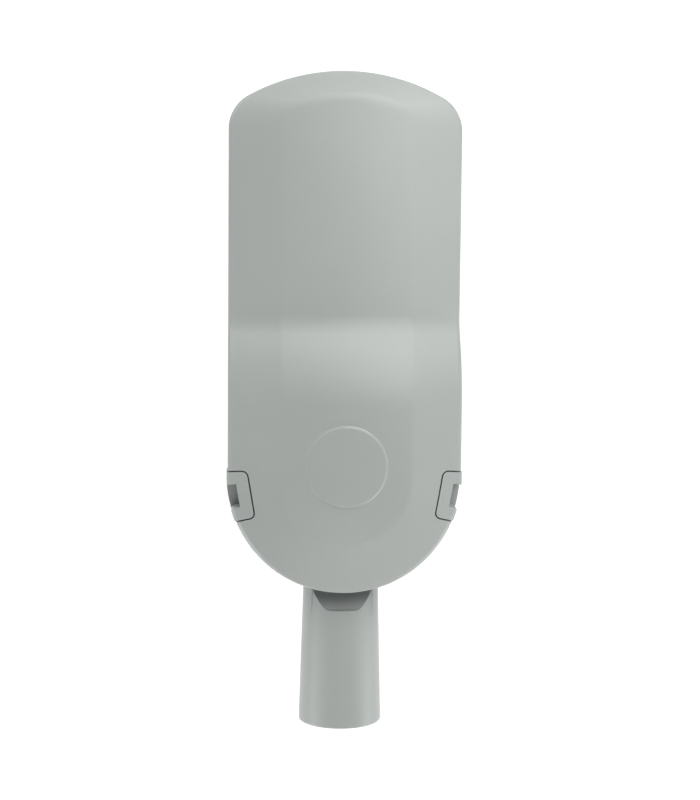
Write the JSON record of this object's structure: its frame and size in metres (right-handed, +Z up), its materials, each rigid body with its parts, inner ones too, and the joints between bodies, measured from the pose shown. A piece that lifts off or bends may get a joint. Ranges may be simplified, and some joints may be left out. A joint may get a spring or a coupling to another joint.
{
  "type": "led street light head",
  "caption": "Flat stepped street light head with a raised gear part, side latches, a glass window below and a tilting pole spigot.",
  "frame": {"origin": "centre of the pole socket's mouth, on the socket's axis", "axes": "+Y from the socket's mouth to the lamp's front tip, +Z up in use, +X to the right seen from above with the front tip up"},
  "size_m": [0.212, 0.596, 0.1154],
  "materials": {
    "coated_casting": "fine matte light grey powder coat on die-cast aluminium",
    "clear_glass": "clear toughened flat glass",
    "clear_lens": "clear moulded optic",
    "black_rubber": "matte silicone rubber",
    "grey_pad": "soft heat-transfer pad",
    "stainless": "plain stainless steel",
    "zinc_sheet": "zinc-plated sheet",
    "board_white": "metal-core circuit board with white solder resist",
    "chip_yellow": "phosphor over the light-emitting chip",
    "driver_case": "aluminium case filled with potting compound",
    "white_plastic": "white moulded plastic",
    "black_plastic": "black moulded plastic",
    "brass_screw": "plain brass"
  },
  "bodies": {
    "spigot": {"pole_spigot": "coated_casting", "tilt_bolts": "stainless", "tilt_washers": "stainless", "set_screws": "stainless"},
    "head": {"top_housing": "coated_casting", "glass_frame": "coated_casting", "glass_seal": "black_rubber", "lead_grommet": "black_rubber", "thermal_pad": "grey_pad", "hinge_pins": "stainless", "latch_pins": "stainless", "frame_screws": "stainless", "lens_screws": "stainless", "tray_screws": "stainless", "gear_tray": "zinc_sheet", "glass_cover": "clear_glass", "led_board": "board_white", "led_chips": "chip_yellow", "lens_plate_left": "clear_lens", "lens_plate_right": "clear_lens", "led_driver": "driver_case", "surge_protector": "white_plastic", "terminal_block": "white_plastic", "disconnect_switch": "black_plastic", "cable_gland": "black_plastic", "earth_screw": "brass_screw"},
    "door": {"gear_door": "coated_casting", "door_seal": "black_rubber", "breather_vent": "black_plastic"},
    "latch_left": {"latch_left": "coated_casting"},
    "latch_right": {"latch_right": "coated_casting"}
  },
  "joints": [
    {"name": "head_tilt", "type": "hinge", "parent": "spigot", "child": "head", "pos_m": [0, 0.17, 0], "axis": [1, 0, 0], "range_deg": [-15, 15]},
    {"name": "door_hinge", "type": "hinge", "parent": "head", "child": "door", "pos_m": [0, 0.3905, 0.007], "axis": [1, 0, 0], "range_deg": [0, 85]},
    {"name": "latch_right_pivot", "type": "hinge", "parent": "head", "child": "latch_right", "pos_m": [0.09631, 0.2173, 0.017], "axis": [0.1696, 0.9855, 0], "range_deg": [0, 45]},
    {"name": "latch_left_pivot", "type": "hinge", "parent": "head", "child": "latch_left", "pos_m": [-0.09631, 0.2173, 0.017], "axis": [0.1696, -0.9855, 0], "range_deg": [0, 45]}
  ]
}
